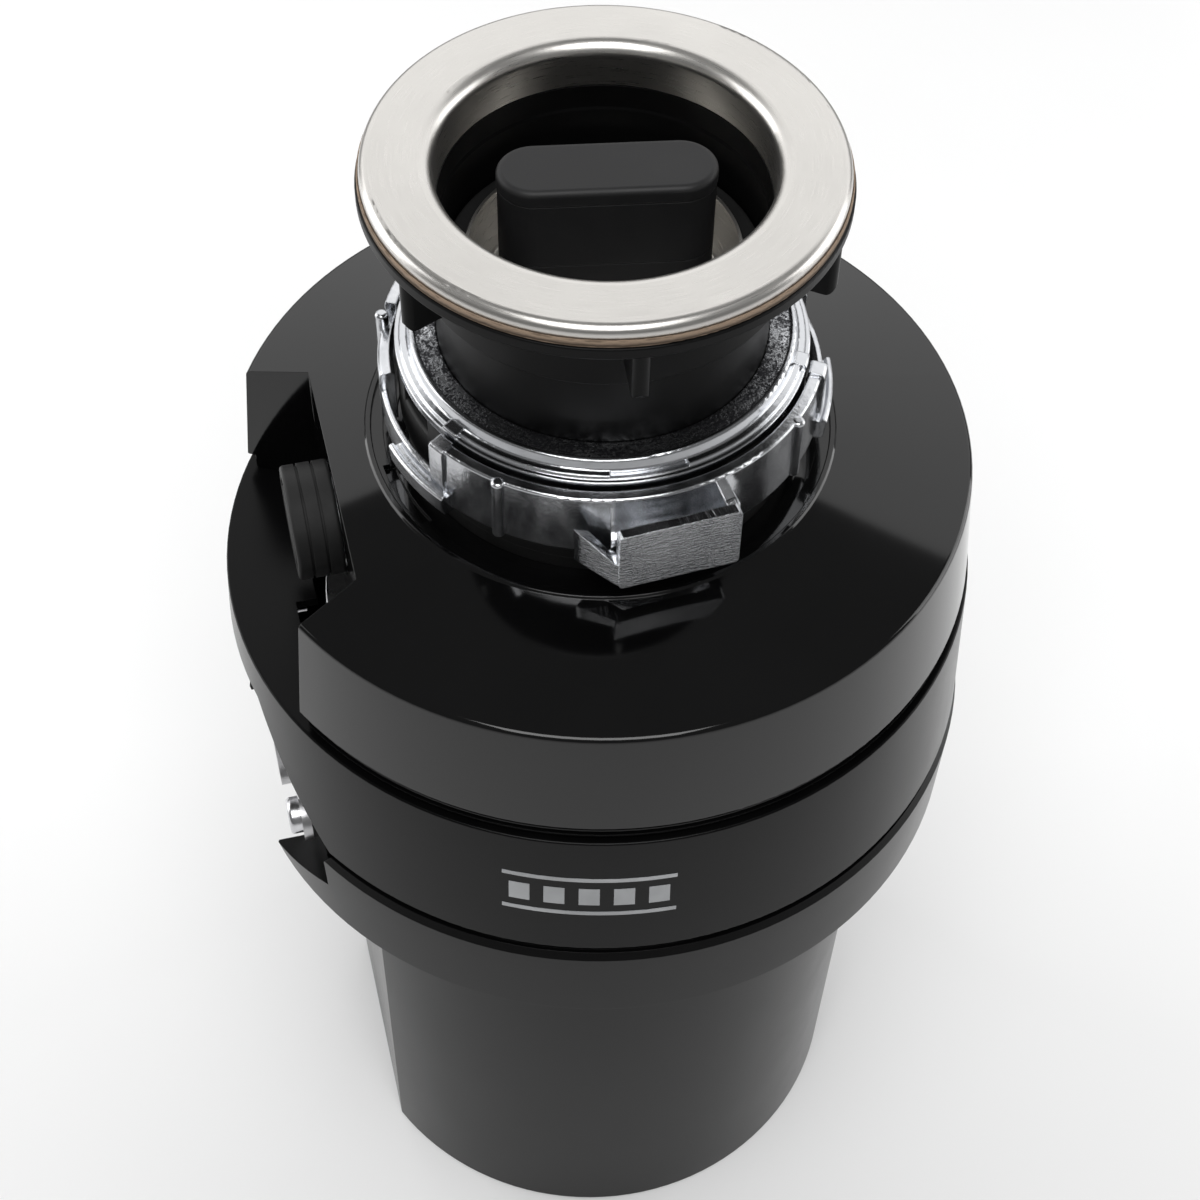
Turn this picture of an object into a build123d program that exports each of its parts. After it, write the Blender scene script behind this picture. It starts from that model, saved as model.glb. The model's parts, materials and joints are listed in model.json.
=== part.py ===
from build123d import *
import math
import os

# Kitchen garbage disposal, standing on its base. Millimetres, +Z up, origin at the centre of
# the base's underside. The dishwasher inlet, the discharge outlet and the flat side face -X.
# Heights near the top are given as a depth below the sink flange's face.

os.makedirs("parts", exist_ok=True)

TOTAL_H = 392.3          # underside of the base to the face of the sink flange

# sink flange and throat
FLANGE_R = 57.15         # standard 4 1/2 in sink flange
THROAT_R = 40.2          # opening where the flange's face rolls down
SLEEVE_IN_R = 39.2
NECK_R = 41.4
GASKET_R = 57.7
BACKING_R = 58.2
COLLAR_R = 45.6
GUSSETS = 6
GUSSET_FIRST_DEG = 24.0
GUSSET_T = 4.0

# zinc mount
LOCK_IN_R = 52.6
LOCK_OUT_R = 56.0
LOCK_TOP = 57.1          # depth
LOCK_LOW = 67.6          # depth of the lowered wall in the windows
LOCK_BOTTOM = 78.0       # depth
LOCK_RIM = 74.9          # depth of the wall's lower outside edge
LOCK_MIRROR_DEG = 272.0  # the lock ring is mirrored about the line through this azimuth
EAR_DEG = 273.2

# tiers of the shell: depth and outside radius at the top and bottom edge of each
TIER_1 = (95.4, 98.2, 129.2, 101.6)
TIER_2 = (134.2, 102.6, 181.0, 105.7)
TIER_3 = (183.9, 106.5, 214.6, 106.0)
SHELL_T = 3.0
CUP_TOP_R = 88.0
CUP_BOTTOM_R = 85.0
CUP_T = 2.6
CUP_TOP_Z = 184.0
CUP_FLAT_X = 77.0        # flat on the outlet side

# notch in the top tier and the outlet window in the two lower tiers
NOTCH = [(-71.5, -36.6), (-71.5, 36.6), (-87.5, 44.6), (-112.0, 56.9),
         (-112.0, -56.9), (-87.5, -44.6)]
NOTCH_WALL = 2.6
SHELF_R = 80.0           # inner edge of the middle tier's top plate
WINDOW = [(57.5, 181.0), (55.6, 187.0), (55.6, 199.0), (26.0, 215.6), (26.0, 222.0),
          (-26.0, 222.0), (-26.0, 215.6), (-55.6, 199.0), (-55.6, 187.0), (-57.5, 181.0),
          (-25.4, 147.0), (25.4, 147.0)]
WINDOW_WALL = 2.6

# grinding section
DRUM_R = 68.4
DRUM_IN_R = 64.6
JOINT_Z = 233.8          # where drain housing and hopper meet
TURNTABLE_Z = 238.0
TURNTABLE_R = 61.6
LUG_PIVOT_R = 38.0
INLET_DEPTH = 108.7
STUB_R = 11.5
CAP_R = 15.3
OUTLET_Z = 203.0
OUTLET_R = 19.5
OUTLET_FACE_X = -90.0
OUTLET_SCREW_Y = 37.0

# motor
SHAFT_R = 8.0
CAN_R = 70.0
BOLT_RING_R = 76.5
WIRING_SCREW_X = -65.6
STACK_Z0 = 72.0          # laminated stack of stator and rotor
STACK_Z1 = 122.0


def down(depth):
    """height of a point that lies this far below the flange's face"""
    return TOTAL_H - depth


def section(points):
    """closed face in the XZ plane; a third number on a point rounds that corner"""
    count = len(points)
    entries = []
    for i, point in enumerate(points):
        here = Vector(point[0], 0, point[1])
        if len(point) < 3:
            entries.append((here, here, None))
            continue
        before = Vector(points[i - 1][0], 0, points[i - 1][1]) - here
        after_point = points[(i + 1) % count]
        after = Vector(after_point[0], 0, after_point[1]) - here
        half = math.radians(before.get_angle(after)) / 2
        reach = point[2] / math.tan(half)
        start = here + before.normalized() * reach
        end = here + after.normalized() * reach
        inward = (before.normalized() + after.normalized()).normalized()
        top = here + inward * (point[2] / math.sin(half) - point[2])
        entries.append((start, end, top))
    edges = []
    for i, (start, end, top) in enumerate(entries):
        if top is not None:
            edges.append(ThreePointArc(start, top, end))
        following = entries[(i + 1) % count][0]
        if (following - end).length > 1e-6:
            edges.append(Line(end, following))
    return make_face(Wire(edges))


def turned(points, arc=360.0, start=0.0):
    """section turned about Z, over part of a turn if arc is given"""
    return Rot(0, 0, start) * revolve(section(points), axis=Axis.Z, revolution_arc=arc)


def ring(r_in, r_out, z0, z1):
    """plain ring, or a disc when r_in is 0"""
    body = Pos(0, 0, (z0 + z1) / 2) * Cylinder(r_out, z1 - z0)
    if r_in > 0:
        body = body - Pos(0, 0, (z0 + z1) / 2) * Cylinder(r_in, z1 - z0 + 1)
    return body


def sector(r_in, r_out, z0, z1, a0, a1):
    """part of a ring between two azimuths in degrees"""
    return turned([(r_in, z0), (r_out, z0), (r_out, z1), (r_in, z1)], a1 - a0, a0)


def block(x0, x1, y0, y1, z0, z1):
    """box between two corners"""
    return Pos((x0 + x1) / 2, (y0 + y1) / 2, (z0 + z1) / 2) * Box(x1 - x0, y1 - y0, z1 - z0)


def rod(x, y, r, z0, z1):
    """upright cylinder"""
    return Pos(x, y, (z0 + z1) / 2) * Cylinder(r, z1 - z0)


def lying(r, x0, x1, z, y=0.0):
    """cylinder along X"""
    return Pos((x0 + x1) / 2, y, z) * Rot(0, 90, 0) * Cylinder(r, x1 - x0)


def around(shape, angle):
    """shape turned about Z"""
    return Rot(0, 0, angle) * shape


def prism(points, z0, z1):
    """outline in plan, extruded up"""
    return Pos(0, 0, z0) * extrude(make_face(Polyline(*points, close=True)), z1 - z0, dir=(0, 0, 1))


def lengthwise(points, x0, x1):
    """outline given as (y, height), extruded along X"""
    face = make_face(Polyline(*points, close=True))
    place = Plane(origin=(x0, 0, 0), x_dir=(0, 1, 0), z_dir=(1, 0, 0))
    return extrude(place * face, x1 - x0, dir=(1, 0, 0))


def joined(shapes):
    """all shapes fused into one"""
    total = shapes[0]
    for shape in shapes[1:]:
        total = total + shape
    return total


def save(shape, node):
    """write one node's solids"""
    export_step(Compound(list(shape.solids())), "parts/" + node + ".step")


# ---------------------------------------------------------------- sink flange and throat

def make_flange_trim():
    return turned([
        (FLANGE_R, down(3.0)), (FLANGE_R, down(0), 2.2), (THROAT_R, down(0), 3.5),
        (39.7, down(11.6)), (40.6, down(11.6)), (41.2, down(1.0), 2.5),
        (56.2, down(1.0), 1.3), (56.2, down(3.0))])


def make_flange_sleeve():
    return turned([
        (44.2, down(1.05)), (56.0, down(1.05), 1.4), (56.0, down(3.0)), (43.0, down(3.0)),
        (43.0, down(14.0)), (NECK_R, down(16.0)), (NECK_R, down(64.0)),
        (SLEEVE_IN_R, down(64.0)), (SLEEVE_IN_R, down(58.0)), (36.6, down(56.0)),
        (36.6, down(48.4), 1.0), (38.0, down(46.4)), (SLEEVE_IN_R, down(46.4)),
        (SLEEVE_IN_R, down(19.0)), (39.55, down(18.2)), (39.55, down(11.8)),
        (40.8, down(11.8)), (41.4, down(4.3))])


def make_fibre_gasket():
    return turned([
        (43.4, down(5.1)), (GASKET_R, down(5.1), 0.3), (GASKET_R, down(3.05), 0.3),
        (43.4, down(3.05))])


def make_support_flange():
    body = turned([
        (43.3, down(29.2)), (COLLAR_R, down(29.2), 0.6), (COLLAR_R + 0.5, down(8.6), 1.5),
        (BACKING_R, down(8.6), 0.9), (BACKING_R, down(5.15), 0.5), (43.3, down(5.15))])
    gusset = section([
        (44.2, down(22.0)), (58.0, down(22.0), 2.6), (58.0, down(8.2)), (44.2, down(8.2))])
    rib = extrude(gusset, GUSSET_T / 2, both=True)
    round_end = rod(58.0 - GUSSET_T / 2, 0, GUSSET_T / 2, down(23.0), down(8.0))
    rib = rib & (block(44.0, 58.0 - GUSSET_T / 2, -3.0, 3.0, down(23.0), down(8.0)) + round_end)
    ribs = [around(rib, GUSSET_FIRST_DEG + i * 360.0 / GUSSETS) for i in range(GUSSETS)]
    return joined([body] + ribs)


# ---------------------------------------------------------------- zinc mount

def make_mounting_ring():
    body = turned([
        (42.0, down(57.6)), (41.6, down(57.0)), (41.6, down(52.7)), (46.7, down(52.5)),
        (47.1, down(51.8), 0.4), (48.2, down(51.8), 0.6), (49.0, down(54.4), 0.5),
        (50.6, down(54.7), 0.2), (50.9, down(55.5), 0.2), (52.0, down(55.7), 0.3),
        (52.0, down(58.0)), (46.0, down(58.0)), (46.0, down(75.5)), (42.0, down(75.5))])
    steps = []
    tabs = []
    for start in (258.0, 78.0):
        steps.append(sector(49.1, 53.0, down(55.3), down(50.0), start, start + 22.0))
    for middle in (211.0, 333.0, 31.0, 153.0):
        tabs.append(turned([(48.6, down(57.8)), (48.6, down(54.0), 0.6), (52.2, down(54.6), 0.8),
                            (52.2, down(57.8))], 5.0, middle - 2.5))
    return joined([body - joined(steps)] + tabs)


def make_cushion():
    body = turned([
        (46.2, down(63.5)), (51.8, down(63.5), 0.8), (51.8, down(75.9)), (50.2, down(75.9)),
        (50.2, down(86.0)), (47.2, down(86.0)), (47.2, down(76.0)), (46.2, down(76.0))])
    blocks = []
    for i in range(12):
        start = 171.0 + i * 30.0
        blocks.append(sector(47.5, 51.8, down(64.5), down(58.4), start, start + 15.0))
    return body + joined(blocks)


def make_splash_guard():
    body = turned([
        (38.2, down(64.3)), (41.7, down(64.3)), (41.7, down(92.0)), (39.9, down(92.0)),
        (39.9, down(73.0)), (11.0, down(79.0)), (11.0, down(77.0)), (38.2, down(71.0))])
    slits = []
    for i in range(8):
        slits.append(around(block(9.0, 35.0, -0.6, 0.6, down(82.0), down(68.0)), i * 45.0))
    return body - joined(slits)


def lock_wall(start, end):
    """full-height wall of the lock ring between two azimuths"""
    return turned([
        (LOCK_IN_R, down(LOCK_BOTTOM)), (54.2, down(LOCK_BOTTOM)),
        (LOCK_OUT_R + 0.4, down(LOCK_RIM), 0.5), (LOCK_OUT_R, down(LOCK_TOP), 0.7),
        (LOCK_IN_R + 0.3, down(LOCK_TOP), 0.5)], end - start, start)


def lock_half():
    """everything of the lock ring on one side of its mirror line, azimuth 92 to 272"""
    bottom = down(LOCK_BOTTOM)
    low_wall = turned([
        (54.9, bottom), (56.4, down(76.8), 0.4), (56.4, down(LOCK_LOW), 0.6),
        (54.9, down(LOCK_LOW), 0.4)], 55.0, 155.0)
    thick = turned([
        (LOCK_IN_R, down(62.6)), (LOCK_IN_R, bottom), (55.6, bottom), (56.7, down(76.9), 0.5),
        (56.7, down(62.0), 1.6), (53.6, down(61.4), 0.5)], 22.0, 155.5)
    pillar = turned([
        (LOCK_IN_R, bottom), (54.2, bottom), (57.0, down(75.4), 0.5), (57.0, down(56.6), 1.2),
        (LOCK_IN_R, down(56.0), 0.8)], 4.6, 209.0)
    lug = turned([
        (54.9, down(77.4)), (58.6, down(77.0), 1.4), (59.2, down(70.6), 0.8),
        (58.0, down(70.2), 0.5), (57.4, down(71.4), 0.3), (54.9, down(71.0))], 22.0, 193.0)
    pieces = [lock_wall(209.0, 272.5), lock_wall(91.5, 156.0), low_wall, thick, pillar, lug]
    for start, end in ((209.0, 272.5), (91.5, 156.0)):
        pieces.append(sector(50.6, LOCK_IN_R + 0.4, bottom, down(76.2), start, end))
    for angle in (160.0, 229.8, 116.0):
        x = LOCK_OUT_R * math.cos(math.radians(angle))
        y = LOCK_OUT_R * math.sin(math.radians(angle))
        post = rod(x, y, 1.7, down(75.6), down(57.0))
        pieces.append(fillet(post.edges().sort_by(Axis.Z)[-1], 0.9))
    return joined(pieces)


def lock_ear():
    """one gripping ear, drawn at azimuth 0: a plate held off the scooped wall, open between"""
    bottom = down(LOCK_BOTTOM)
    plate = block(61.0, 63.8, -15.2, 15.2, down(78.6), down(60.0))
    plate = fillet(plate.edges().filter_by(Axis.X), 1.2)
    scoop = turned([
        (54.5, bottom), (59.6, bottom), (59.6, down(67.6), 0.4), (56.9, down(66.4), 4.0),
        (55.8, down(57.9), 0.4), (54.5, down(57.9))], 29.5, -15.0)
    right_web = turned([
        (55.0, bottom), (62.6, bottom), (62.6, down(61.0), 0.8), (55.6, down(57.6))], 3.0, 11.5)
    left_web = prism([(53.5, -20.0), (55.4, -24.0), (63.6, -14.6), (61.4, -12.0)],
                     down(78.6), down(60.0))
    slope = lengthwise([
        (-26.0, down(61.0)), (-16.0, down(70.6)), (-11.0, down(70.6)),
        (-11.0, down(78.6)), (-16.0, down(78.0)), (-26.0, down(73.0))], 50.0, 66.0)
    return joined([scoop, right_web, left_web & slope, plate])


def make_lock_ring():
    half = lock_half()
    line = Plane(origin=(0, 0, 0), z_dir=(math.cos(math.radians(LOCK_MIRROR_DEG + 90)),
                                          math.sin(math.radians(LOCK_MIRROR_DEG + 90)), 0))
    other = mirror(half, about=line)
    ears = [around(lock_ear(), EAR_DEG), around(lock_ear(), EAR_DEG - 180.0)]
    core = ring(0, LOCK_IN_R, down(76.2), down(50.0))
    return joined([half, other] + ears) - core


# ---------------------------------------------------------------- stopper

def stadium(length, width, z0, z1):
    """upright bar with round ends, lying along the stopper's own direction"""
    face = SlotOverall(length, width)
    return Rot(0, 0, -9.5) * Pos(0.4, 0, z0) * extrude(face, z1 - z0)


def make_stopper_handle():
    cap = stadium(52.0, 18.0, down(7.4), down(3.5))
    cap = fillet(cap.edges().group_by(Axis.Z)[-1], 1.6)
    groove = stadium(51.2, 17.2, down(8.0), down(7.4))
    grip = stadium(51.6, 17.6, down(26.0), down(8.0))
    return joined([grip, groove, cap])


def make_stopper_stem():
    return stadium(51.6, 17.6, down(43.1), down(26.3)) + stadium(46.0, 12.0, down(26.3), down(26.0))


def make_stopper_dish():
    return turned([
        (0, down(44.0)), (31.0, down(44.0), 1.6), (33.6, down(28.6)), (32.8, down(28.6)),
        (30.4, down(43.2), 1.2), (0, down(43.2))])


def make_stopper_rim():
    return turned([
        (33.9, down(31.8), 0.5), (38.8, down(31.8), 0.8), (38.8, down(46.0)),
        (37.6, down(46.0)), (36.0, down(47.6)), (31.6, down(47.6)), (31.6, down(44.6)),
        (32.0, down(43.0))])


# ---------------------------------------------------------------- shell

def notch_cutter(z0, z1):
    return prism(NOTCH, z0, z1)


def notch_walls():
    """upright walls that line the notch"""
    wide = prism([(-71.5 + NOTCH_WALL, -38.3), (-71.5 + NOTCH_WALL, 38.3),
                  (-86.4, 47.1), (-112.0, 59.9), (-112.0, -59.9), (-86.4, -47.1)],
                 down(133.9), down(84.0))
    hull = turned([
        (0, down(133.9)), (99.4, down(133.9)), (99.4, down(129.3)), (101.4, down(129.0)),
        (98.0, down(95.8), 1.5), (61.6, down(87.8)), (0, down(87.8))])
    return (wide & hull) - notch_cutter(down(140.0), down(80.0))


def make_top_cover():
    body = turned([
        (50.5, down(92.0)), (50.5, down(89.6)), (53.6, down(89.6)), (53.6, down(88.8)),
        (56.8, down(88.8)), (56.8, down(88.0)), (59.9, down(88.0)), (59.9, down(86.9), 0.25),
        (61.2, down(86.9), 0.3), (61.7, down(87.5)), (TIER_1[1], down(TIER_1[0]), 1.6),
        (TIER_1[3], down(TIER_1[2]), 0.5), (TIER_1[3] - SHELL_T, down(TIER_1[2])),
        (TIER_1[1] - SHELL_T, down(TIER_1[0] + 2.8), 1.2), (61.0, down(90.6))])
    body = body - notch_cutter(down(140.0), down(80.0))
    body = body + notch_walls()
    inlet_hole = lying(CAP_R + 0.7, -75.0, -66.0, down(INLET_DEPTH))
    recess_slot = sector(55.4, 58.6, down(89.8), down(86.0), 184.0, 206.0)
    return body - inlet_hole - recess_slot


def window_prism(grow, x0, x1):
    """outlet window's outline, grown all round, extruded along X"""
    outline = make_face(Polyline(*[(y, -depth) for y, depth in WINDOW], close=True))
    if grow > 0:
        outline = offset(outline, grow, kind=Kind.INTERSECTION)
    place = Plane(origin=(x0, 0, TOTAL_H), x_dir=(0, 1, 0), z_dir=(1, 0, 0))
    return extrude(place * outline, x1 - x0, dir=(1, 0, 0))


def window_frame(depth_low, depth_high, r_low, r_high):
    """lining of the outlet window between two depths, before the window itself is cut out"""
    keep = turned([(0, down(depth_low)), (r_low, down(depth_low)), (r_high, down(depth_high)),
                   (0, down(depth_high))])
    return window_prism(WINDOW_WALL, -108.0, -89.0) & keep


def make_mid_shell():
    body = turned([
        (SHELF_R, down(TIER_2[0] + 2.8)), (SHELF_R, down(TIER_2[0])),
        (TIER_2[1], down(TIER_2[0]), 0.6), (TIER_2[3], down(TIER_2[2]), 0.5),
        (TIER_2[3] - SHELL_T, down(TIER_2[2])),
        (TIER_2[1] - SHELL_T, down(TIER_2[0] + 2.8), 1.0)])
    neck = turned([
        (97.0, down(134.4)), (97.0, down(129.6)), (99.9, down(129.6)), (99.9, down(130.3)),
        (100.7, down(130.5)), (100.7, down(131.1)), (99.9, down(131.3)), (99.9, down(132.1)),
        (101.0, down(132.3)), (101.0, down(132.9)), (99.9, down(133.1)), (99.9, down(134.4))])
    wide = prism([(-68.5, -38.7), (-68.5, 38.7), (-86.4, 47.8), (-112.0, 60.6),
                  (-112.0, -60.6), (-86.4, -47.8)], down(134.2), down(125.0))
    body = body + (neck - wide)
    body = body + window_frame(TIER_2[2], 136.0, TIER_2[3] - 1.4, TIER_2[1] - 1.4)
    slot = block(-85.6, -78.0, -13.2, -5.9, down(140.0), down(130.0))
    return body - slot - window_prism(0, -112.0, -60.0)


def cup_outline(inset, z0, z1):
    """solid cup with its flat side, drawn in by inset"""
    slope = (CUP_TOP_R - CUP_BOTTOM_R) / CUP_TOP_Z
    solid = turned([
        (0, z0), (CUP_BOTTOM_R + slope * z0 - inset, z0),
        (CUP_BOTTOM_R + slope * z1 - inset, z1), (0, z1)])
    return solid - block(-120.0, -CUP_FLAT_X + inset, -100.0, 100.0, z0 - 1, z1 + 1)


def make_lower_band():
    inner_r = TIER_3[3] - SHELL_T
    outer = turned([
        (inner_r, down(TIER_3[2] - 2.6)), (inner_r, down(TIER_3[0] + 2.0)),
        (inner_r - 2.4, down(TIER_3[0] + 2.0)), (inner_r - 2.4, down(TIER_2[2] + 0.1)),
        (inner_r + 1.2, down(TIER_2[2] + 0.1)), (inner_r + 1.2, down(TIER_3[0])),
        (TIER_3[1] - 1.2, down(TIER_3[0])), (TIER_3[1], down(TIER_3[0] + 2.4)),
        (TIER_3[3], down(TIER_3[2] - 0.6)), (TIER_3[3] - 0.6, down(TIER_3[2])),
        (60.0, down(TIER_3[2])), (60.0, down(TIER_3[2] - 2.6))])
    frame = window_frame(TIER_3[2], TIER_2[2] + 0.1, inner_r + 0.8, inner_r + 0.8)
    body = outer - cup_outline(-0.3, down(TIER_3[2] + 4.0), down(TIER_3[2] - 8.0)) + frame
    return body - window_prism(0, -112.0, -60.0)


def make_motor_cup():
    outer = cup_outline(0, 0, CUP_TOP_Z)
    inner = cup_outline(CUP_T, -1.0, CUP_TOP_Z + 1.0)
    shell = outer - inner
    rim = shell.edges().filter_by(lambda e: e.center().Z < 0.01).sort_by(SortBy.LENGTH)[-1]
    shell = chamfer(rim, 0.8)
    bosses = []
    for angle in (30.0, 150.0, 270.0):
        post = Pos(77.6, 0, 11.0) * Cylinder(5.4, 13.6)
        bosses.append(around(post - Pos(76.0, 0, 11.0) * Cylinder(1.85, 20), angle))
    outlet_relief = lying(25.6, -100.0, -60.0, OUTLET_Z)
    trimmed = [boss & cup_outline(0.5, 0, 30.0) for boss in bosses]
    return joined([shell] + trimmed) - outlet_relief


def make_base_plate():
    plate = cup_outline(CUP_T + 0.3, 0, 4.0)
    gland = rod(-30.0, -46.0, 15.0, 3.9, 10.0)
    guide = rod(48.0, 0.0, 8.4, 3.9, 9.0)
    plate = plate + gland + guide
    plate = plate - rod(-30.0, -46.0, 11.1, -1.0, 11.0) - rod(48.0, 0.0, 5.6, -1.0, 11.0)
    plate = plate - block(-70.3, -8.3, -18.3, 18.3, -1.0, 2.0)
    plate = plate - block(-61.0, -17.0, -13.0, 13.0, -1.0, 5.0)
    plate = plate - rod(WIRING_SCREW_X, 0, 1.6, 1.0, 5.0)
    for angle in (30.0, 150.0, 270.0):
        hole = Pos(76.0, 0, 1.0) * Cylinder(4.8, 4.0) + Pos(76.0, 0, 3.0) * Cylinder(2.3, 6.0)
        plate = plate - around(hole, angle)
    plate = plate - rod(-8.0, 50.0, 5.2, -1.0, 3.0) - rod(-8.0, 50.0, 1.9, -1.0, 5.0)
    return plate


def make_wiring_cover():
    plate = block(-70.0, -8.6, -18.0, 18.0, 0.4, 1.9)
    plate = fillet(plate.edges().filter_by(Axis.Z), 2.0)
    return plate - rod(WIRING_SCREW_X, 0, 1.7, -1.0, 3.0)


def pan_screw(x, y, head_r, head_z0, head_z1, shank_r, shank_top):
    """screw driven upward, with a cross recess in its head"""
    body = rod(x, y, head_r, head_z0, head_z1) + rod(x, y, shank_r, head_z1 - 0.1, shank_top)
    cross = block(x - head_r * 0.6, x + head_r * 0.6, y - 0.4, y + 0.4, head_z0 - 1, head_z0 + 0.7)
    across = block(x - 0.4, x + 0.4, y - head_r * 0.6, y + head_r * 0.6, head_z0 - 1, head_z0 + 0.7)
    return body - cross - across


def make_wiring_cover_screw():
    return rod(WIRING_SCREW_X, 0, 3.0, 0.0, 0.4) + rod(WIRING_SCREW_X, 0, 1.55, 0.3, 4.0)


def make_ground_screw():
    return pan_screw(-8.0, 50.0, 4.6, 0.7, 2.95, 1.85, 9.0)


def make_base_screws():
    screws = []
    for angle in (30.0, 150.0, 270.0):
        screws.append(around(pan_screw(76.0, 0, 4.2, 0.7, 2.95, 1.8, 14.0), angle))
    return Compound([s for screw in screws for s in screw.solids()])


# ---------------------------------------------------------------- grinding section

def make_hopper():
    drum = turned([
        (DRUM_IN_R, JOINT_Z + 0.1), (75.0, JOINT_Z + 0.1, 0.6), (75.0, JOINT_Z + 4.6, 0.6),
        (DRUM_R, JOINT_Z + 4.6), (DRUM_R, 294.0, 5.0), (48.6, 300.6, 2.0), (47.0, 303.6, 1.0),
        (47.0, down(76.4)), (43.5, down(76.4)), (43.5, 299.0, 3.0), (DRUM_IN_R, 291.4, 5.0)])
    stub = lying(STUB_R, -79.5, -65.2, down(INLET_DEPTH))
    bead = lying(STUB_R + 0.5, -79.5, -77.5, down(INLET_DEPTH))
    pad = lying(15.4, -71.0, -65.0, down(INLET_DEPTH)) & ring(60.0, 71.0, 240.0, 299.0)
    body = joined([drum, pad, stub, bead])
    return body - lying(STUB_R - 2.2, -80.5, -60.0, down(INLET_DEPTH))


def make_inlet_cap():
    z = down(INLET_DEPTH)
    body = lying(CAP_R, -84.0, -71.6, z)
    body = fillet(body.edges().filter_by(GeomType.CIRCLE), 0.9)
    body = body - lying(STUB_R + 0.55, -80.0, -70.0, z)
    for x in (-80.0, -75.9):
        body = body - (lying(CAP_R + 1, x - 0.35, x + 0.35, z) - lying(CAP_R - 0.7, x - 1, x + 1, z))
    return body - (lying(CAP_R - 3.0, -85.0, -83.5, z) - lying(CAP_R - 5.0, -86.0, -83.0, z))


def make_clamp_band():
    z0 = JOINT_Z - 4.8
    z1 = JOINT_Z + 4.9
    band = turned([
        (70.6, z0 - 1.6), (77.0, z0 - 1.6, 0.8), (77.0, z1 + 1.6, 0.8), (70.6, z1 + 1.6),
        (70.6, z1 + 0.1), (75.3, z1 + 0.1), (75.3, z0 - 0.1), (70.6, z0 - 0.1)])
    gap = block(70.0, 80.0, -2.0, 2.0, z0 - 3, z1 + 3)
    lugs = block(76.4, 86.0, 2.0, 4.0, z0 - 1.6, z1 + 1.6)
    lugs = lugs + block(76.4, 86.0, -4.0, -2.0, z0 - 1.6, z1 + 1.6)
    bolt = Pos(81.5, 0, JOINT_Z) * Rot(90, 0, 0) * Cylinder(2.4, 16.0)
    head = Pos(81.5, -6.0, JOINT_Z) * Rot(90, 0, 0) * Cylinder(4.2, 4.0)
    nut = Pos(81.5, 6.0, JOINT_Z) * Rot(90, 0, 0) * extrude(RegularPolygon(4.6, 6), 2.0, both=True)
    return joined([band - gap, lugs, bolt, head, nut])


def oval(x0, x1, half_len, end_r, mid_r):
    """two-eared plate lying across X at the outlet"""
    plate = lying(mid_r, x0, x1, OUTLET_Z)
    for side in (-1, 1):
        ear = lying(end_r, x0, x1, OUTLET_Z, side * half_len)
        plate = plate + ear
        root_r = mid_r * 0.93
        arm = [(side * half_len, OUTLET_Z + end_r), (side * half_len, OUTLET_Z - end_r),
               (side * 8.0, OUTLET_Z - root_r), (side * 8.0, OUTLET_Z + root_r)]
        plate = plate + lengthwise(arm, x0, x1)
    return plate


def outlet_holes(x0, x1, r):
    """two screw holes of the outlet"""
    return lying(r, x0, x1, OUTLET_Z, OUTLET_SCREW_Y) + lying(r, x0, x1, OUTLET_Z, -OUTLET_SCREW_Y)


def make_drain_housing():
    bowl = turned([
        (11.1, 150.0), (18.0, 150.0, 1.0), (18.0, 159.0, 2.0), (82.0, 159.0, 1.0),
        (82.0, 167.0, 1.0), (DRUM_R, 167.0, 2.0), (DRUM_R, JOINT_Z - 4.6), (75.0, JOINT_Z - 4.6),
        (75.0, JOINT_Z), (DRUM_IN_R, JOINT_Z), (DRUM_IN_R, 184.0, 6.0), (40.0, 180.5, 8.0),
        (18.5, 184.0, 4.0), (18.0, 195.0, 1.0), (14.2, 195.0), (14.2, 184.0), (11.1, 184.0)])
    duct = lying(OUTLET_R + 3.5, OUTLET_FACE_X, -66.0, OUTLET_Z)
    plate = oval(OUTLET_FACE_X, OUTLET_FACE_X + 5.0, OUTLET_SCREW_Y, 7.5, 24.5)
    bowl = bowl - block(-90.0, -73.8, -90.0, 90.0, 150.0, 172.0)
    body = joined([bowl, duct, plate])
    body = body - lying(OUTLET_R, OUTLET_FACE_X - 5.0, -55.0, OUTLET_Z)
    body = body - outlet_holes(OUTLET_FACE_X - 5.0, OUTLET_FACE_X + 10.0, 2.45)
    for i in range(4):
        body = body - around(rod(BOLT_RING_R, 0, 2.6, 155.0, 170.0), 45.0 + i * 90.0)
    return body


def make_outlet_gasket():
    plate = oval(OUTLET_FACE_X - 2.0, OUTLET_FACE_X, OUTLET_SCREW_Y, 7.2, 24.2)
    plate = plate - lying(OUTLET_R, OUTLET_FACE_X - 5.0, OUTLET_FACE_X + 5.0, OUTLET_Z)
    return plate - outlet_holes(OUTLET_FACE_X - 5.0, OUTLET_FACE_X + 5.0, 2.6)


def make_outlet_flange():
    plate = oval(OUTLET_FACE_X - 4.5, OUTLET_FACE_X - 2.0, OUTLET_SCREW_Y, 7.5, 24.5)
    lip = lying(OUTLET_R + 2.2, OUTLET_FACE_X - 8.0, OUTLET_FACE_X - 4.4, OUTLET_Z)
    plate = plate + lip
    plate = plate - lying(OUTLET_R, OUTLET_FACE_X - 10.0, OUTLET_FACE_X + 5.0, OUTLET_Z)
    return plate - outlet_holes(OUTLET_FACE_X - 6.0, OUTLET_FACE_X + 5.0, 2.6)


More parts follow.
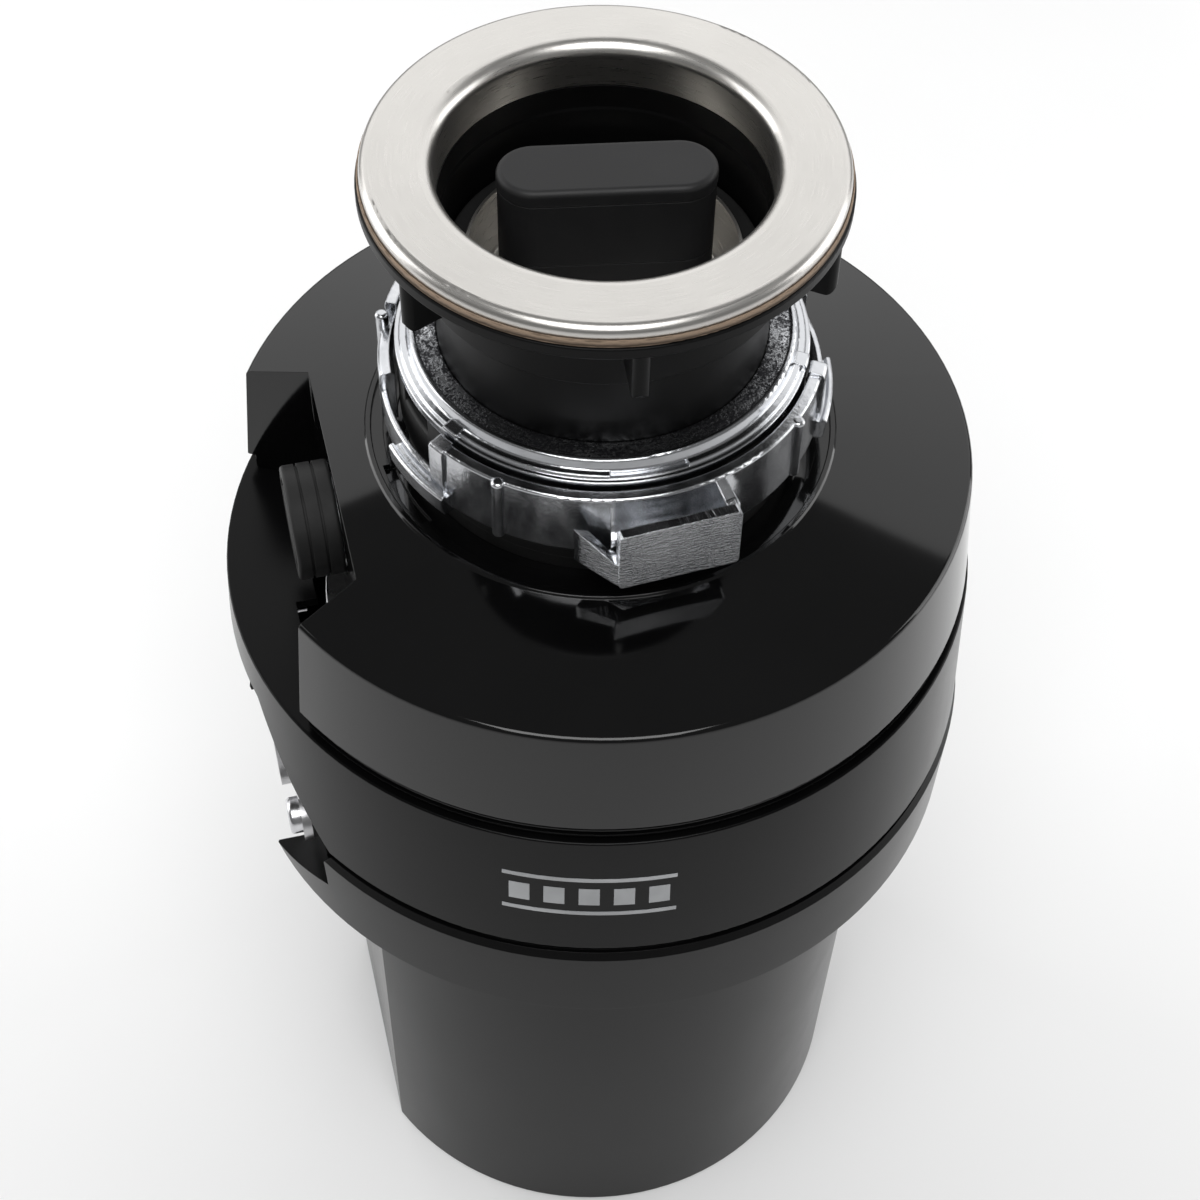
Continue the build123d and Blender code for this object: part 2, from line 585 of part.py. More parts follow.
def make_outlet_screws():
    screws = []
    for side in (-1, 1):
        y = side * OUTLET_SCREW_Y
        shank = lying(2.4, OUTLET_FACE_X - 4.6, OUTLET_FACE_X + 9.0, OUTLET_Z, y)
        head = lying(5.2, OUTLET_FACE_X - 8.0, OUTLET_FACE_X - 4.5, OUTLET_Z, y)
        head = fillet(head.edges().sort_by(Axis.X)[0], 1.2)
        slot = block(OUTLET_FACE_X - 9.0, OUTLET_FACE_X - 7.0, y - 0.6, y + 0.6,
                     OUTLET_Z - 3.6, OUTLET_Z + 3.6)
        cross = block(OUTLET_FACE_X - 9.0, OUTLET_FACE_X - 7.0, y - 3.6, y + 3.6,
                      OUTLET_Z - 0.6, OUTLET_Z + 0.6)
        screws.append((shank + head) - slot - cross)
    return Compound([s for screw in screws for s in screw.solids()])


def make_grind_ring():
    body = turned([
        (62.3, JOINT_Z + 0.2), (64.4, JOINT_Z + 0.2), (64.4, 262.0), (62.3, 262.0, 0.6)])
    cuts = []
    for i in range(24):
        cuts.append(around(block(61.0, 63.5, -2.0, 2.0, 243.0, 256.0), i * 15.0))
    return body - joined(cuts)


def make_shaft_seal():
    return ring(SHAFT_R + 0.06, 14.1, 185.0, 192.5)


def make_upper_bearing():
    return ring(SHAFT_R + 0.06, 11.0, 152.0, 183.0)


def make_lower_bearing():
    return ring(SHAFT_R + 0.06, 11.0, 24.0, 42.0)


# ---------------------------------------------------------------- rotor

def make_shaft():
    return joined([rod(0, 0, SHAFT_R, 20.0, 232.0), rod(0, 0, 6.0, 231.0, 252.0)])


def make_rotor_core():
    core = ring(SHAFT_R, 37.9, STACK_Z0, STACK_Z1)
    slots = [around(rod(34.6, 0, 1.6, STACK_Z0 - 2, STACK_Z1 + 2), i * 20.0) for i in range(18)]
    return core - joined(slots)


def make_rotor_cage():
    bars = [around(rod(34.6, 0, 1.5, STACK_Z0 - 3, STACK_Z1 + 3), i * 20.0) for i in range(18)]
    fans = []
    for i in range(9):
        fans.append(around(block(28.0, 36.4, -1.0, 1.0, STACK_Z1 + 2, STACK_Z1 + 12), i * 40.0))
    rings = [ring(24.0, 37.4, STACK_Z0 - 4.0, STACK_Z0 - 0.1),
             ring(24.0, 37.4, STACK_Z1 + 0.1, STACK_Z1 + 4.0)]
    return joined(rings + bars + fans)


def make_turntable():
    disc = turned([
        (SHAFT_R, 228.0), (15.0, 228.0, 1.0), (15.0, TURNTABLE_Z), (TURNTABLE_R, TURNTABLE_Z),
        (TURNTABLE_R, TURNTABLE_Z + 3.0, 0.8), (6.1, TURNTABLE_Z + 3.0), (6.1, 232.1),
        (SHAFT_R, 232.1)])
    for i in range(6):
        disc = disc - around(rod(50.0, 0, 3.0, 235.0, 245.0), 30.0 + i * 60.0)
    for i in range(2):
        disc = disc - around(rod(LUG_PIVOT_R, 0, 4.0, 235.0, 245.0), i * 180.0)
    return disc


def make_turntable_nut():
    nut = Pos(0, 0, TURNTABLE_Z + 3.0) * extrude(RegularPolygon(11.0, 6), 8.0)
    return nut - rod(0, 0, 6.1, 235.0, 255.0)


def make_lug_rivets():
    rivets = []
    for i in range(2):
        rivet = joined([rod(LUG_PIVOT_R, 0, 3.95, 236.4, 249.0),
                        rod(LUG_PIVOT_R, 0, 6.0, 235.4, TURNTABLE_Z),
                        fillet(rod(LUG_PIVOT_R, 0, 7.0, 248.0, 251.0).edges().sort_by(Axis.Z)[-1],
                               1.2)])
        rivets.append(around(rivet, i * 180.0))
    return Compound([s for rivet in rivets for s in rivet.solids()])


def make_impeller(turn):
    """swivelling lug with a raised striking edge, trailing its rivet"""
    blade = extrude(SlotCenterToCenter(12.0, 17.0), 6.2)
    blade = Pos(LUG_PIVOT_R, 5.5, TURNTABLE_Z + 3.3) * Rot(0, 0, 90) * blade
    fin = block(LUG_PIVOT_R - 7.0, LUG_PIVOT_R + 7.0, 12.5, 19.2, TURNTABLE_Z + 3.3,
                TURNTABLE_Z + 14.0)
    fin = fillet(fin.edges().filter_by(Axis.Z), 3.0)
    lug = blade + fin - rod(LUG_PIVOT_R, 0, 4.05, 235.0, 255.0)
    return around(lug, turn)


# ---------------------------------------------------------------- motor and reset

def make_motor_can():
    return ring(CAN_R - 2.0, CAN_R, 44.2, 158.9)


def make_stator_core():
    core = ring(38.5, CAN_R - 2.1, STACK_Z0, STACK_Z1)
    slot = block(37.0, 56.0, -2.6, 2.6, STACK_Z0 - 2, STACK_Z1 + 2)
    slots = [around(slot, i * 15.0) for i in range(24)]
    return core - joined(slots)


def make_stator_windings():
    bar = block(40.5, 55.0, -2.2, 2.2, STACK_Z0 - 1, STACK_Z1 + 1)
    bars = [around(bar, i * 15.0) for i in range(24)]
    ends = []
    for z0, z1 in ((STACK_Z0 - 15.0, STACK_Z0 - 0.2), (STACK_Z1 + 0.2, STACK_Z1 + 15.0)):
        ends.append(turned([(40.0, z0, 3.0), (60.0, z0, 4.0), (60.0, z1, 4.0), (40.0, z1, 3.0)]))
    return joined(bars + ends)


def make_lower_end_plate():
    plate = turned([
        (11.1, 24.0), (18.0, 24.0, 1.0), (18.0, 37.0, 2.0), (72.0, 37.0, 1.0), (72.0, 44.0),
        (18.0, 44.0), (11.1, 44.0)])
    ears = [around(rod(BOLT_RING_R, 0, 5.5, 37.0, 44.0), 45.0 + i * 90.0) for i in range(4)]
    plate = joined([plate] + ears)
    for i in range(4):
        plate = plate - around(rod(BOLT_RING_R, 0, 2.6, 30.0, 50.0), 45.0 + i * 90.0)
    return plate


def make_through_bolts():
    bolts = []
    for i in range(4):
        head = Pos(BOLT_RING_R, 0, 32.8) * extrude(RegularPolygon(4.6, 6), 4.1)
        bolt = head + rod(BOLT_RING_R, 0, 2.5, 36.0, 172.0)
        nut = Pos(BOLT_RING_R, 0, 167.1) * extrude(RegularPolygon(4.6, 6), 3.6)
        bolts.append(around(bolt + nut, 45.0 + i * 90.0))
    return Compound([s for bolt in bolts for s in bolt.solids()])


def make_overload_switch():
    body = block(38.0, 58.0, -9.0, 9.0, 12.4, 23.0)
    tabs = block(40.0, 43.0, -0.6, 0.6, 22.5, 23.6)
    legs = joined([block(38.0, 41.0, -13.0, -9.6, 4.0, 20.0), block(38.0, 41.0, 9.6, 13.0, 4.0, 20.0),
                   block(38.0, 41.0, -10.0, 10.0, 16.0, 20.0)])
    return joined([body, tabs, legs])


def make_reset_button():
    cap = rod(48.0, 0, 5.4, 1.2, 9.4)
    cap = fillet(cap.edges().sort_by(Axis.Z)[0], 0.6)
    return cap


MAKERS = {
    "flange_trim": make_flange_trim, "flange_sleeve": make_flange_sleeve,
    "fibre_gasket": make_fibre_gasket, "support_flange": make_support_flange,
    "mounting_ring": make_mounting_ring, "cushion": make_cushion,
    "splash_guard": make_splash_guard, "lock_ring": make_lock_ring,
    "stopper_handle": make_stopper_handle, "stopper_stem": make_stopper_stem,
    "stopper_dish": make_stopper_dish, "stopper_rim": make_stopper_rim,
    "top_cover": make_top_cover, "mid_shell": make_mid_shell, "lower_band": make_lower_band,
    "motor_cup": make_motor_cup, "base_plate": make_base_plate,
    "wiring_cover": make_wiring_cover, "wiring_cover_screw": make_wiring_cover_screw,
    "ground_screw": make_ground_screw, "base_screws": make_base_screws,
    "hopper": make_hopper, "inlet_cap": make_inlet_cap, "clamp_band": make_clamp_band,
    "drain_housing": make_drain_housing, "outlet_gasket": make_outlet_gasket,
    "outlet_flange": make_outlet_flange, "outlet_screws": make_outlet_screws,
    "grind_ring": make_grind_ring, "shaft_seal": make_shaft_seal,
    "upper_bearing": make_upper_bearing, "lower_bearing": make_lower_bearing,
    "shaft": make_shaft, "rotor_core": make_rotor_core, "rotor_cage": make_rotor_cage,
    "turntable": make_turntable, "turntable_nut": make_turntable_nut,
    "lug_rivets": make_lug_rivets, "motor_can": make_motor_can,
    "stator_core": make_stator_core, "stator_windings": make_stator_windings,
    "lower_end_plate": make_lower_end_plate, "through_bolts": make_through_bolts,
    "overload_switch": make_overload_switch, "reset_button": make_reset_button,
}

for node, maker in MAKERS.items():
    save(maker(), node)
save(make_impeller(0.0), "impeller_a")
save(make_impeller(180.0), "impeller_b")
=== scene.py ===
import json
import math

import bmesh
import bpy
from mathutils import Matrix, Vector


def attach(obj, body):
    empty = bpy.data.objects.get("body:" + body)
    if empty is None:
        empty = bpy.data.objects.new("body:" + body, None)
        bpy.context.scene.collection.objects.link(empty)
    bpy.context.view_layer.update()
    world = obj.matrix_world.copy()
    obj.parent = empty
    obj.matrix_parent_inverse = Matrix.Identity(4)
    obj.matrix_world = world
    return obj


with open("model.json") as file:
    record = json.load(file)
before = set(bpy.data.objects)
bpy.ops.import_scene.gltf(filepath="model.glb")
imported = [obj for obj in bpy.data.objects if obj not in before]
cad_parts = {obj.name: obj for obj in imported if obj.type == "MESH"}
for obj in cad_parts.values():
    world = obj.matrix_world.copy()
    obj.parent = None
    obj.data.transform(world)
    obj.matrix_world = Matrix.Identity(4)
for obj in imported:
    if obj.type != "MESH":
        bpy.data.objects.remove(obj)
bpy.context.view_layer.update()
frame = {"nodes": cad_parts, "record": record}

# Kitchen garbage disposal. Metres, +Z up, origin under the middle of the base. The dishwasher
# inlet and the discharge outlet face -X. Azimuths are degrees from +X, turning towards +Y.

TARGET = Vector((0.00096, -0.00026, 0.2268))   # point the camera looks at
CAMERA_AZIMUTH = -105.0
CAMERA_ELEVATION = 51.65
CAMERA_DISTANCE = 0.6334
CAMERA_ROLL = 1.334
LENS = 65.65

WORLD_STRENGTH = 0.2
# name, azimuth, elevation, distance, width, height and watts of each lamp
LAMPS = (
    ("back_box", 75.0, 38.0, 1.3, 3.0, 1.0, 12.0),
    ("top_box", -105.0, 62.0, 1.6, 1.0, 1.0, 17.0),
    ("left_box", 150.0, 18.0, 1.4, 0.9, 1.3, 11.0),
    ("right_box", 0.0, 14.0, 1.4, 0.9, 1.1, 9.0),
)

ROUGH_FACE_R = 0.0472          # outer edge of the mounting ring's rough face

# plain mark printed on the middle band; the band widens downwards
MARK_AZIMUTH = 255.0
MARK_WIDTH_DEG = 25.0
MARK_TOP = 0.2433
MARK_BOTTOM = 0.2273
BAND_R = 0.1036                # outside radius of the band at the mark's top
BAND_SLOPE = 0.0662            # gain in radius for each metre down
MARK_PROUD = 0.00012           # how far the mark's bars reach out of, and into, the band
RULE_HEIGHT = 0.0014
PIPS = 5
PIP_HALF_DEG = 1.5
PIP_INSET = 0.0045             # from the mark's top and bottom to a pip

# lower end of the rubber cushion round the drum's neck: radius and height of each corner
SKIRT_SECTION = ((0.0489, 0.3007), (0.0502, 0.3007), (0.0502, 0.30625), (0.0489, 0.30625))
SKIRT_STEPS = 96

EAR_FACE_R = 0.0606            # the lock ring's ears stand outside this radius


def heading(azimuth, elevation):
    """unit vector that points this way"""
    a = math.radians(azimuth)
    e = math.radians(elevation)
    return Vector((math.cos(e) * math.cos(a), math.cos(e) * math.sin(a), math.sin(e)))


def facing(place, target, roll=0.0):
    """matrix of a camera or lamp at a place, looking at a target"""
    back = (place - target).normalized()
    level = Vector((0, 0, 1)).cross(back).normalized()
    upright = back.cross(level)
    turn = math.radians(roll)
    right = level * math.cos(turn) + upright * math.sin(turn)
    up = upright * math.cos(turn) - level * math.sin(turn)
    matrix = Matrix((right, up, back)).transposed().to_4x4()
    matrix.translation = place
    return matrix


def add_camera():
    data = bpy.data.cameras.new("camera")
    data.lens = LENS
    data.sensor_width = 36.0
    data.clip_start = 0.01
    camera = bpy.data.objects.new("camera", data)
    place = TARGET + heading(CAMERA_AZIMUTH, CAMERA_ELEVATION) * CAMERA_DISTANCE
    camera.matrix_world = facing(place, TARGET, CAMERA_ROLL)
    bpy.context.scene.collection.objects.link(camera)
    bpy.context.scene.camera = camera


def add_softbox(name, azimuth, elevation, distance, width, height, watts):
    """flat rectangular lamp that faces the target"""
    data = bpy.data.lights.new(name, "AREA")
    data.shape = "RECTANGLE"
    data.size = width
    data.size_y = height
    data.energy = watts
    lamp = bpy.data.objects.new(name, data)
    lamp.matrix_world = facing(TARGET + heading(azimuth, elevation) * distance, TARGET)
    bpy.context.scene.collection.objects.link(lamp)


def add_world():
    """even white light from everywhere"""
    world = bpy.data.worlds.new("studio")
    world.use_nodes = True
    background = world.node_tree.nodes["Background"]
    background.inputs["Color"].default_value = (1.0, 1.0, 1.0, 1.0)
    background.inputs["Strength"].default_value = WORLD_STRENGTH
    bpy.context.scene.world = world


def add_studio():
    add_world()
    for lamp in LAMPS:
        add_softbox(*lamp)
    bpy.context.scene.view_settings.view_transform = "Standard"


# ---------------------------------------------------------------- materials

class Look:
    """a procedural material while its nodes are being joined up"""

    def __init__(self, name, colour, roughness, metallic=0.0, **constants):
        self.material = bpy.data.materials.new(name)
        self.material.use_nodes = True
        self.nodes = self.material.node_tree.nodes
        self.links = self.material.node_tree.links
        self.shader = self.nodes["Principled BSDF"]
        self.set("Base Color", (*colour, 1.0))
        self.set("Roughness", roughness)
        self.set("Metallic", metallic)
        for socket, value in constants.items():
            self.set(socket.replace("_", " "), value)
        self.material.diffuse_color = (*colour, 1.0)

    def set(self, socket, value):
        self.shader.inputs[socket].default_value = value

    def add(self, kind, inputs=(), **settings):
        """new node; inputs are pairs of socket and value or output"""
        node = self.nodes.new("ShaderNode" + kind)
        for name, value in settings.items():
            setattr(node, name, value)
        for socket, value in inputs:
            if isinstance(value, bpy.types.NodeSocket):
                self.links.new(value, node.inputs[socket])
            else:
                node.inputs[socket].default_value = value
        return node

    def place(self, stretch=(1.0, 1.0, 1.0), turn=(0.0, 0.0, 0.0)):
        """position on the object in metres, stretched for grain that runs one way"""
        where = self.add("TexCoord").outputs["Object"]
        node = self.add("Mapping", [("Vector", where), ("Scale", stretch), ("Rotation", turn)])
        return node.outputs["Vector"]

    def round_place(self, stretch=(1.0, 1.0, 1.0)):
        """radius, angle and height about the Z axis, stretched"""
        where = self.add("TexCoord").outputs["Object"]
        parts = self.add("SeparateXYZ", [("Vector", where)]).outputs
        flat = self.add("CombineXYZ", [("X", parts["X"]), ("Y", parts["Y"])]).outputs["Vector"]
        radius = self.add("VectorMath", [(0, flat)], operation="LENGTH").outputs["Value"]
        angle = self.add("Math", [(0, parts["Y"]), (1, parts["X"])], operation="ARCTAN2")
        point = self.add("CombineXYZ", [("X", radius), ("Y", angle.outputs["Value"]),
                                        ("Z", parts["Z"])])
        node = self.add("Mapping", [("Vector", point.outputs["Vector"]), ("Scale", stretch)])
        return node.outputs["Vector"]

    def noise(self, vector, scale, detail=3.0, roughness=0.55):
        node = self.add("TexNoise", [("Vector", vector), ("Scale", scale), ("Detail", detail),
                                     ("Roughness", roughness)])
        return node.outputs["Fac"]

    def waves(self, vector, scale, distortion=0.0):
        node = self.add("TexWave", [("Vector", vector), ("Scale", scale),
                                    ("Distortion", distortion)])
        return node.outputs["Fac"]

    def cells(self, vector, scale):
        """random colour for each cell of a Voronoi pattern"""
        node = self.add("TexVoronoi", [("Vector", vector), ("Scale", scale)])
        return node.outputs["Color"]

    def spread(self, value, low, high, start=0.3, end=0.7):
        """noise value mapped to a range"""
        node = self.add("MapRange", [("Value", value), ("From Min", start), ("From Max", end),
                                     ("To Min", low), ("To Max", high)])
        return node.outputs["Result"]

    def tint(self, value, dark, light, start=0.35, end=0.65):
        """two colours blended by a value"""
        node = self.add("ValToRGB", [("Fac", value)])
        node.color_ramp.elements[0].position = start
        node.color_ramp.elements[0].color = (*dark, 1.0)
        node.color_ramp.elements[1].position = end
        node.color_ramp.elements[1].color = (*light, 1.0)
        return node.outputs["Color"]

    def colour(self, socket):
        self.links.new(socket, self.shader.inputs["Base Color"])

    def roughness(self, socket):
        self.links.new(socket, self.shader.inputs["Roughness"])

    def bump(self, height, depth, under=None):
        """surface relief; depth in metres; under is the relief it lies on"""
        inputs = [("Height", height), ("Distance", depth), ("Strength", 1.0)]
        if under is not None:
            inputs.append(("Normal", under))
        return self.add("Bump", inputs).outputs["Normal"]

    def relief(self, socket):
        self.links.new(socket, self.shader.inputs["Normal"])


def round_edges(look, radius):
    """normal that softens sharp edges, as a moulding tool or casting does"""
    return look.add("Bevel", [("Radius", radius)], samples=4).outputs["Normal"]


def brushed_round(name, colour, roughness):
    """metal brushed in circles about the axis"""
    look = Look(name, colour, roughness, metallic=1.0)
    rings = look.noise(look.round_place((5200.0, 5.0, 5200.0)), 1.0, 2.0)
    cloud = look.noise(look.place(), 26.0, 4.0)
    look.roughness(look.spread(rings, roughness - 0.04, roughness + 0.05))
    look.colour(look.tint(cloud, [c * 0.94 for c in colour], colour))
    look.relief(look.bump(rings, 0.000004))
    return look.material


def plastic(name, grey, roughness, grain_scale, grain_depth, level=0.5, edge=0.0002):
    """moulded black plastic with a fine grain and faint cloudiness"""
    look = Look(name, (grey, grey, grey * 1.06), roughness, Specular_IOR_Level=level)
    grain = look.noise(look.place(), grain_scale, 2.0)
    cloud = look.noise(look.place(), 34.0, 4.0)
    look.roughness(look.spread(cloud, roughness * 0.9, roughness * 1.12))
    shade = (grey * 0.85, grey * 0.85, grey * 0.9)
    look.colour(look.tint(cloud, shade, (grey * 1.15, grey * 1.15, grey * 1.2)))
    look.relief(look.bump(grain, grain_depth, round_edges(look, edge)))
    return look.material


def woven_fibre():
    look = Look("woven_fibre", (0.36, 0.26, 0.18), 0.85)
    around = look.round_place((1.0, 0.055, 1.0))
    warp = look.waves(around, 330.0, 1.5)
    turned = look.add("Mapping", [("Vector", around), ("Rotation", (math.radians(90), 0.0, 0.6))])
    weft = look.waves(turned.outputs["Vector"], 330.0, 1.5)
    weave = look.add("Math", [(0, warp), (1, weft)], operation="MULTIPLY").outputs["Value"]
    look.colour(look.tint(weave, (0.07, 0.047, 0.03), (0.26, 0.19, 0.135), 0.05, 0.6))
    look.relief(look.bump(weave, 0.0003))
    return look.material


def zinc_casting(name, streak, depth):
    """plated die casting; streak is the scale of its flow marks. Its ears have lines on them"""
    look = Look(name, (0.56, 0.57, 0.59), 0.2, metallic=1.0)
    flow = look.noise(look.place((1.0, 1.0, 0.45)), streak, 4.0, 0.6)
    fine = look.noise(look.place(), streak * 6.0, 2.0)
    look.roughness(look.spread(flow, 0.15, 0.27))
    look.colour(look.tint(flow, (0.48, 0.49, 0.51), (0.62, 0.63, 0.65)))
    soft = look.bump(flow, depth, round_edges(look, 0.0005))
    radius = look.add("SeparateXYZ", [("Vector", look.round_place())]).outputs["X"]
    ear = look.add("MapRange", [("Value", radius), ("From Min", EAR_FACE_R),
                                ("From Max", EAR_FACE_R + 0.0008)]).outputs["Result"]
    lines = look.noise(look.round_place((30.0, 18.0, 2300.0)), 1.0, 4.0, 0.6)
    streaks = look.add("Math", [(0, lines), (1, ear)], operation="MULTIPLY").outputs["Value"]
    lined = look.bump(streaks, 0.0005, soft)
    look.relief(look.bump(fine, depth * 0.12, lined))
    return look.material


def zinc_flow(name):
    """zinc casting whose face between two radii is left rough; dark streaks along the turn on that
    face are painted reflections of the black parts round it
    """
    look = Look(name, (0.72, 0.73, 0.75), 0.14, metallic=1.0)
    around = look.round_place()
    radius = look.add("SeparateXYZ", [("Vector", around)]).outputs["X"]
    inside = look.add("MapRange", [("Value", radius), ("From Min", ROUGH_FACE_R),
                                   ("From Max", ROUGH_FACE_R - 0.0006)]).outputs["Result"]
    marks = look.noise(look.round_place((420.0, 7.0, 420.0)), 1.0, 5.0, 0.7)
    speck = look.noise(look.place(), 1500.0, 3.0, 0.7)
    # streaks along the turn, painted into the colour as reflections of the black parts round the ring
    painted_reflection_streaks = look.add("Math", [(0, marks), (1, speck)], operation="MULTIPLY").outputs["Value"]
    painted_reflection_strength = look.spread(painted_reflection_streaks, 0.0, 1.0, 0.18, 0.34)
    painted_reflection_mask = look.add("Math", [(0, painted_reflection_strength), (1, inside)], operation="MULTIPLY").outputs["Value"]
    # painted reflection: near-black metal colour along the streaks inside the rough face, which is
    # also rougher
    look.colour(look.tint(painted_reflection_mask, (0.52, 0.53, 0.55), (0.05, 0.05, 0.055), 0.05, 0.6))
    look.roughness(look.spread(painted_reflection_mask, 0.16, 0.5, 0.0, 1.0))
    soft = look.bump(look.noise(look.place(), 160.0, 3.0), 0.0001, round_edges(look, 0.0005))
    look.relief(look.bump(painted_reflection_mask, 0.00006, soft))
    return look.material


def galvanised(name):
    """zinc spangle: flat crystals of slightly different brightness"""
    look = Look(name, (0.5, 0.51, 0.52), 0.42, metallic=1.0)
    crystal = look.cells(look.place(), 520.0)
    shade = look.add("SeparateColor", [("Color", crystal)]).outputs[0]
    look.colour(look.tint(shade, (0.26, 0.27, 0.28), (0.68, 0.69, 0.70), 0.1, 0.9))
    look.roughness(look.spread(shade, 0.3, 0.55, 0.0, 1.0))
    look.relief(look.bump(look.noise(look.place(), 900.0, 3.0), 0.00006))
    return look.material


def plated_steel(name, colour, roughness, scale):
    look = Look(name, colour, roughness, metallic=1.0)
    cloud = look.noise(look.place((1.0, 1.0, 0.3)), scale, 4.0)
    look.colour(look.tint(cloud, [c * 0.82 for c in colour], colour))
    look.roughness(look.spread(cloud, roughness * 0.8, roughness * 1.25))
    look.relief(look.bump(look.noise(look.place(), scale * 9.0, 2.0), 0.00001))
    return look.material


def rubber(name, grey):
    look = Look(name, (grey, grey, grey), 0.62, Specular_IOR_Level=0.4)
    bloom = look.noise(look.place(), 60.0, 5.0)
    look.colour(look.tint(bloom, (grey * 0.8,) * 3, (grey * 1.3,) * 3))
    look.roughness(look.spread(bloom, 0.52, 0.72))
    look.relief(look.bump(look.noise(look.place(), 2600.0, 2.0), 0.00002,
                          round_edges(look, 0.0003)))
    return look.material


def layered(name, dark, light, per_metre, roughness):
    """stacked steel sheets or wound wire: fine lines across Z"""
    look = Look(name, light, roughness, metallic=1.0)
    lines = look.waves(look.place((0.0, 0.0, 1.0), (0.0, math.radians(90), 0.0)), per_metre)
    look.colour(look.tint(lines, dark, light, 0.2, 0.6))
    look.roughness(look.spread(look.noise(look.place(), 90.0), roughness * 0.8, roughness * 1.2))
    look.relief(look.bump(lines, 0.0001))
    return look.material


def painted(name, colour, roughness):
    look = Look(name, colour, roughness)
    peel = look.noise(look.place(), 700.0, 2.0)
    cloud = look.noise(look.place(), 45.0, 3.0)
    look.colour(look.tint(cloud, [c * 0.8 for c in colour], [min(1.0, c * 1.15) for c in colour]))
    look.roughness(look.spread(cloud, roughness * 0.85, roughness * 1.2))
    look.relief(look.bump(peel, 0.00003, round_edges(look, 0.0002)))
    return look.material


def make_looks():
    """one material for each slot, one for the mounting ring, and one for the printed mark"""
    return {
        "stainless": brushed_round("stainless", (0.58, 0.565, 0.54), 0.3),
        "fibre": woven_fibre(),
        "black_satin": plastic("black_satin", 0.002, 0.4, 2400.0, 0.000012, 0.12),
        "black_gloss": plastic("black_gloss", 0.002, 0.07, 900.0, 0.0000004, 0.4),
        "black_shell": plastic("black_shell", 0.002, 0.22, 2600.0, 0.000004, 0.11),
        "zinc": zinc_casting("zinc", 150.0, 0.00016),
        "mounting_ring": zinc_flow("zinc_flow"),
        "mark_print": painted("mark_print", (0.36, 0.37, 0.38), 0.42),
        "rubber_black": rubber("rubber_black", 0.004),
        "handle_grey": plastic("handle_grey", 0.012, 0.5, 3200.0, 0.00002, 0.3),
        "drum_metal": galvanised("drum_metal"),
        "steel_plate": plated_steel("steel_plate", (0.56, 0.56, 0.57), 0.32, 120.0),
        "screw_zinc": plated_steel("screw_zinc", (0.68, 0.68, 0.70), 0.22, 400.0),
        "bronze": plated_steel("bronze", (0.55, 0.34, 0.15), 0.36, 240.0),
        "copper": layered("copper", (0.30, 0.10, 0.04), (0.74, 0.34, 0.16), 1400.0, 0.35),
        "laminated": layered("laminated", (0.05, 0.05, 0.06), (0.26, 0.26, 0.28), 1000.0, 0.5),
        "cast_cage": plated_steel("cast_cage", (0.58, 0.59, 0.60), 0.4, 200.0),
        "painted_black": painted("painted_black", (0.012, 0.012, 0.013), 0.4),
        "earth_green": painted("earth_green", (0.02, 0.22, 0.06), 0.3),
        "reset_red": painted("reset_red", (0.52, 0.02, 0.015), 0.25),
    }


# ---------------------------------------------------------------- objects


def dress(looks):
    """give every CAD node its own material, or its slot's"""
    slots = {part["node"]: part["material_slot"] for part in frame["record"]["subparts"]}
    for name, node in frame["nodes"].items():
        node.data.materials.clear()
        node.data.materials.append(looks.get(name, looks[slots[name]]))


def add_mesh(name, grid, look):
    """turn a finished bmesh into an object in the scene"""
    mesh = bpy.data.meshes.new(name)
    grid.to_mesh(mesh)
    grid.free()
    thing = bpy.data.objects.new(name, mesh)
    bpy.context.scene.collection.objects.link(thing)
    mesh.materials.append(look)
    return thing


def join_outlines(grid, left, right):
    """band of faces between two outlines of four points"""
    for k in range(4):
        following = (k + 1) % 4
        grid.faces.new((left[k], right[k], right[following], left[following]))


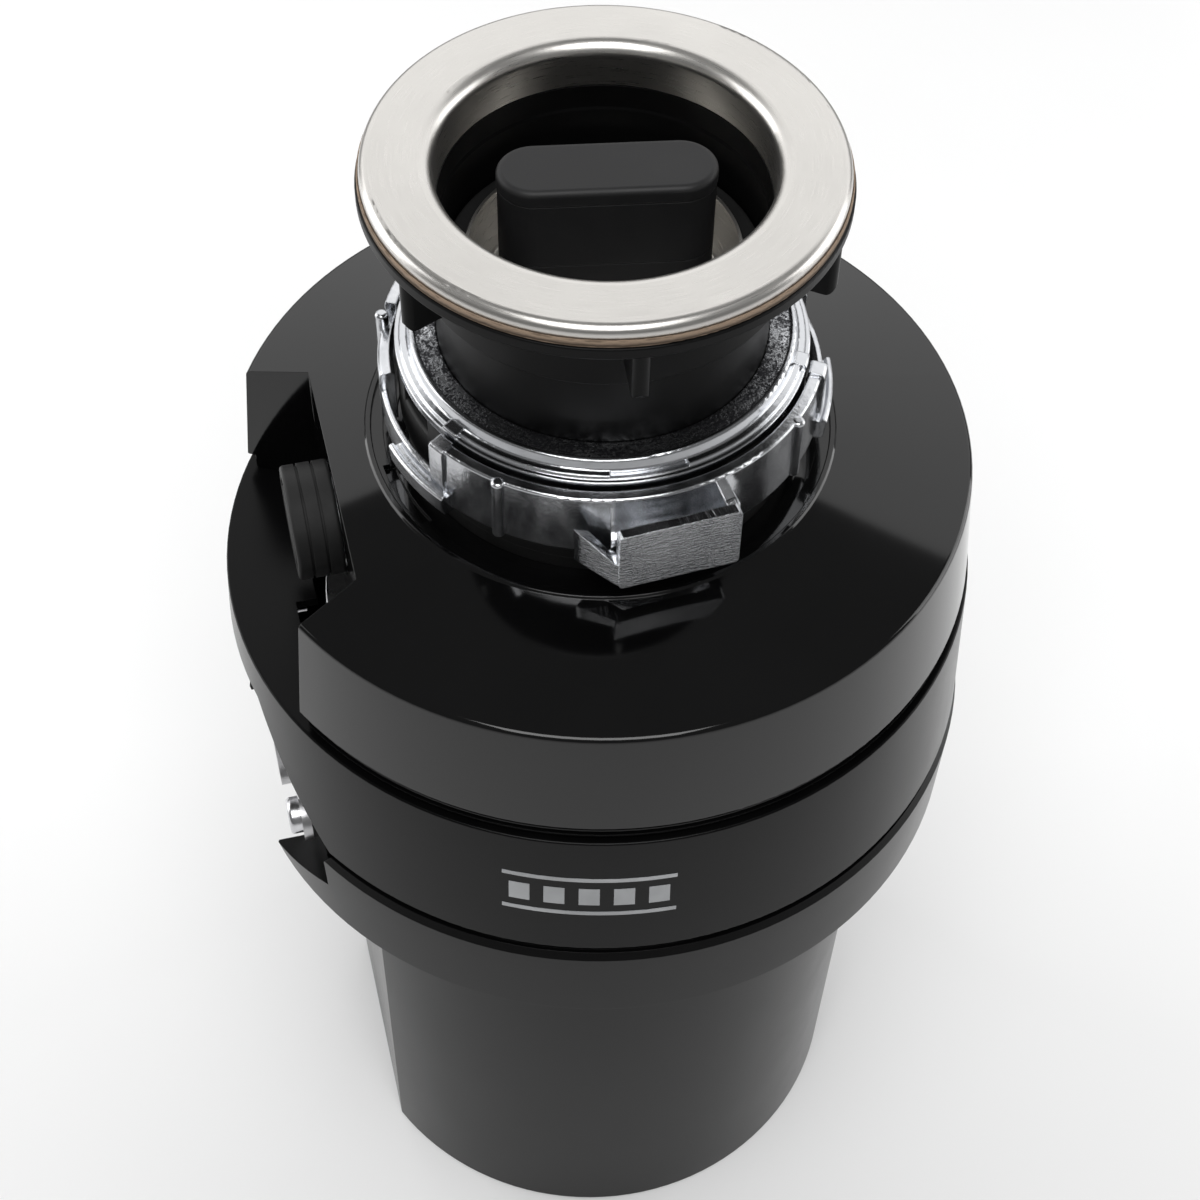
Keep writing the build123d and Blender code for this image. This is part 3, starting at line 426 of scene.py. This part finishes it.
def bar_on_band(grid, start, end, bottom, top):
    """thin raised bar that follows the band's surface between two azimuths and two heights"""
    steps = max(2, round(abs(end - start)))
    outlines = []
    for i in range(steps + 1):
        turn = math.radians(start + (end - start) * i / steps)
        outline = []
        for lift, height in ((-MARK_PROUD, bottom), (MARK_PROUD, bottom), (MARK_PROUD, top),
                             (-MARK_PROUD, top)):
            radius = BAND_R + (MARK_TOP - height) * BAND_SLOPE + lift
            outline.append(grid.verts.new((radius * math.cos(turn), radius * math.sin(turn), height)))
        outlines.append(outline)
    for left, right in zip(outlines, outlines[1:]):
        join_outlines(grid, left, right)
    grid.faces.new(outlines[0])
    grid.faces.new(reversed(outlines[-1]))


def add_mark(look):
    """plain pattern of rules and pips where a printed label sits on the middle band"""
    first = MARK_AZIMUTH - MARK_WIDTH_DEG / 2
    last = MARK_AZIMUTH + MARK_WIDTH_DEG / 2
    grid = bmesh.new()
    bar_on_band(grid, first, last, MARK_TOP - RULE_HEIGHT, MARK_TOP)
    bar_on_band(grid, first, last, MARK_BOTTOM, MARK_BOTTOM + RULE_HEIGHT)
    for i in range(PIPS):
        middle = MARK_AZIMUTH + (i - PIPS // 2) * MARK_WIDTH_DEG / PIPS
        bar_on_band(grid, middle - PIP_HALF_DEG, middle + PIP_HALF_DEG,
                    MARK_BOTTOM + PIP_INSET, MARK_TOP - PIP_INSET)
    bmesh.ops.recalc_face_normals(grid, faces=grid.faces)
    mark = add_mesh("band_mark", grid, look)
    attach(mark, "housing")


def add_skirt(look):
    """ring of rubber that carries the cushion down to the top cover"""
    grid = bmesh.new()
    outlines = []
    for i in range(SKIRT_STEPS):
        turn = math.radians(360.0 * i / SKIRT_STEPS)
        outlines.append([grid.verts.new((r * math.cos(turn), r * math.sin(turn), height))
                         for r, height in SKIRT_SECTION])
    for i in range(SKIRT_STEPS):
        join_outlines(grid, outlines[i - 1], outlines[i])
    bmesh.ops.recalc_face_normals(grid, faces=grid.faces)
    skirt = add_mesh("cushion_skirt", grid, look)
    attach(skirt, "housing")


def add_floor():
    grid = bmesh.new()
    bmesh.ops.create_grid(grid, x_segments=8, y_segments=8, size=4.0)
    look = Look("floor", (0.86, 0.86, 0.86), 0.7)
    look.colour(look.tint(look.noise(look.place(), 3.0), (0.85, 0.85, 0.85), (0.87, 0.87, 0.87)))
    add_mesh("floor", grid, look.material)


add_camera()
add_studio()
add_floor()
looks = make_looks()
dress(looks)
add_mark(looks["mark_print"])
add_skirt(looks["rubber_black"])
